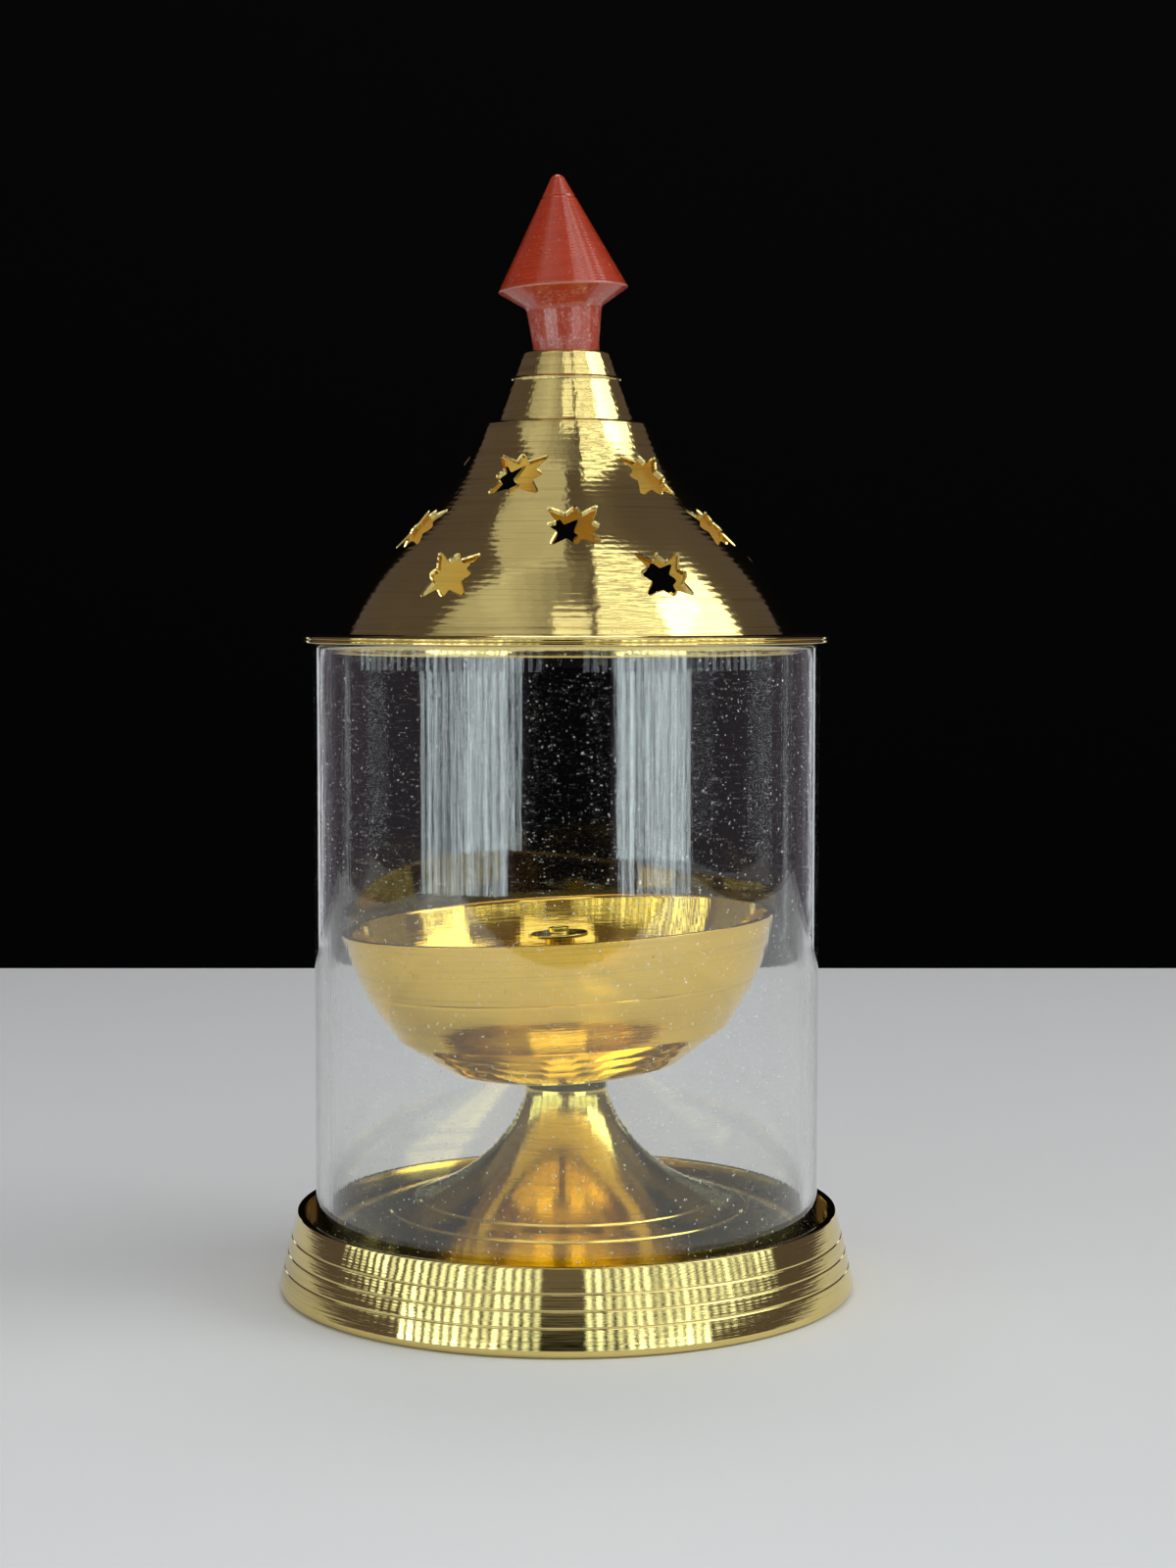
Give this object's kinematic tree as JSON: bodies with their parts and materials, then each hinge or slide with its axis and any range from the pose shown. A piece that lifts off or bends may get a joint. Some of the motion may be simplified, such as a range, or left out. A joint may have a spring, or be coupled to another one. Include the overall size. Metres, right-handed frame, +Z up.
{
  "type": "akhand diya",
  "caption": "Standing brass oil lamp: flared foot and pedestal, oil bowl with a lift-out wick holder, clear glass chimney and a star-pierced lid with a pointed red knob.",
  "frame": {"origin": "centre of the foot on the surface that the lamp stands on", "axes": "+Z up along the axis of the glass chimney, -Y towards the front of the lamp, +X to its right"},
  "size_m": [0.0916, 0.0916, 0.176],
  "materials": {
    "brass": "turned and polished, with fine lathe lines",
    "fixing_brass": "plain drawn brass, dull",
    "glass": "clear borosilicate tube with fire-polished ends",
    "red_knob": "turned, brick red, slightly worn gloss",
    "steel": "zinc-plated screw and washer"
  },
  "bodies": {
    "base": {"stand": "brass", "oil_bowl": "brass", "bowl_stud": "fixing_brass", "bowl_washer": "fixing_brass", "bowl_nut": "fixing_brass"},
    "wick_holder": {"wick_holder": "brass"},
    "chimney": {"glass_chimney": "glass"},
    "lid": {"lid": "brass", "knob": "red_knob", "knob_screw": "steel", "knob_washer": "steel"}
  },
  "joints": [
    {"name": "chimney_lift", "type": "slide", "parent": "base", "child": "chimney", "axis": [0, 0, 1], "range_m": [0, 0.08]},
    {"name": "lid_lift", "type": "slide", "parent": "chimney", "child": "lid", "axis": [0, 0, 1], "range_m": [0, 0.06]},
    {"name": "wick_holder_lift", "type": "slide", "parent": "base", "child": "wick_holder", "axis": [-0.0506, 0, 0.9987], "range_m": [0, 0.03]}
  ]
}
